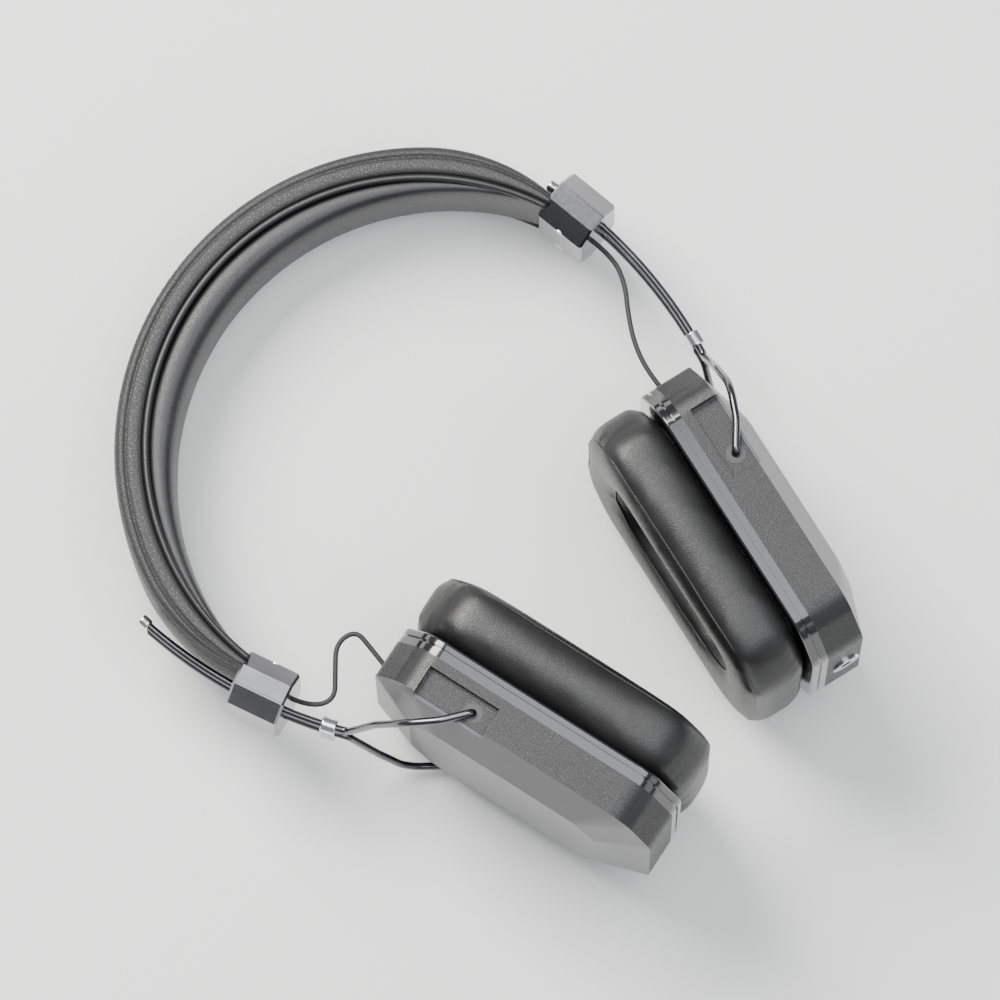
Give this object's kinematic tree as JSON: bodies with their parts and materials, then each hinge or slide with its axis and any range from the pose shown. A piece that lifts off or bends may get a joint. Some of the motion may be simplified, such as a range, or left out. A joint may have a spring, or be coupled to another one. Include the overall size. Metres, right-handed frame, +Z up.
{
  "type": "gaming headset",
  "caption": "Over-ear headset lying on its side: padded arched headband, slider blocks, sliding wire arms and faceted closed ear cups with thick pads.",
  "frame": {"origin": "middle of the object's bounding box in X and Y, on the surface it lies on", "axes": "+Z up from the surface; +Y roughly towards the crown of the headband; +X roughly towards the left cup"},
  "size_m": [0.1834, 0.227, 0.0911],
  "materials": {
    "spring_steel": "blued spring steel",
    "lead_rubber": "matt black lead sheath",
    "vinyl": "grained black vinyl",
    "cushion": "soft black leatherette over foam",
    "piping": "smooth black piping",
    "bright_steel": "bright plated steel",
    "block_metal": "dark gunmetal, satin",
    "wire_steel": "darkened spring steel",
    "bush_plastic": "dark acetal",
    "board": "green circuit board",
    "housing_plastic": "grained black plastic",
    "cover_plastic": "satin charcoal plastic",
    "inner_plastic": "plain dark plastic",
    "trim_gloss": "glossy black plastic",
    "scrim_fabric": "fine black mesh cloth",
    "pad_leather": "smooth black protein leather over foam",
    "magnet_metal": "plated magnet and cap",
    "diaphragm_film": "thin film"
  },
  "bodies": {
    "headband": {"headband_spring": "spring_steel", "crossover_lead": "lead_rubber", "headband_cover": "vinyl", "headband_cushion": "cushion", "headband_piping": "piping", "slider_screws_left": "bright_steel", "detent_spring_left": "spring_steel", "slider_block_outer_left": "block_metal", "slider_block_inner_left": "block_metal", "slider_screws_right": "bright_steel", "detent_spring_right": "spring_steel", "slider_block_outer_right": "block_metal", "slider_block_inner_right": "block_metal"},
    "arm_left": {"yoke_wires_left": "wire_steel", "yoke_bridge_left": "bright_steel", "end_stop_left": "bright_steel", "arm_lead_left": "lead_rubber"},
    "arm_right": {"yoke_wires_right": "wire_steel", "yoke_bridge_right": "bright_steel", "end_stop_right": "bright_steel", "arm_lead_right": "lead_rubber"},
    "cup_left": {"lead_grommet_left": "lead_rubber", "pivot_bushes_left": "bush_plastic", "jack_socket_left": "bright_steel", "jack_board_left": "board", "cup_housing_left": "housing_plastic", "cover_screws_left": "bright_steel", "back_cover_left": "cover_plastic", "baffle_left": "inner_plastic", "trim_ring_left": "trim_gloss", "pad_scrim_left": "scrim_fabric", "ear_pad_left": "pad_leather", "driver_frame_left": "inner_plastic", "driver_magnet_left": "magnet_metal", "driver_diaphragm_left": "diaphragm_film"},
    "cup_right": {"lead_grommet_right": "lead_rubber", "pivot_bushes_right": "bush_plastic", "cup_housing_right": "housing_plastic", "cover_screws_right": "bright_steel", "back_cover_right": "cover_plastic", "baffle_right": "inner_plastic", "trim_ring_right": "trim_gloss", "pad_scrim_right": "scrim_fabric", "ear_pad_right": "pad_leather", "driver_frame_right": "inner_plastic", "driver_magnet_right": "magnet_metal", "driver_diaphragm_right": "diaphragm_film"}
  },
  "joints": [
    {"name": "arm_slide_left", "type": "hinge", "parent": "headband", "child": "arm_left", "pos_m": [-0.05406, 0.04148, 0.02985], "axis": [0.0376, 0.1763, 0.9836], "range_deg": [0, 16]},
    {"name": "cup_tilt_left", "type": "hinge", "parent": "arm_left", "child": "cup_left", "pos_m": [0.04249, -0.05295, 0.04309], "axis": [-0.0376, -0.1763, -0.9836], "range_deg": [-21, 1], "deforming": ["arm_lead_left"]},
    {"name": "arm_slide_right", "type": "hinge", "parent": "headband", "child": "arm_right", "pos_m": [0.05406, 0.04077, 0.02585], "axis": [-0.0376, -0.1763, -0.9836], "range_deg": [-2, 4]},
    {"name": "cup_tilt_right", "type": "hinge", "parent": "arm_right", "child": "cup_right", "pos_m": [-0.06018, -0.03044, 0.04298], "axis": [0.0376, 0.1763, 0.9836], "range_deg": [-8, 2], "deforming": ["arm_lead_right"]}
  ]
}
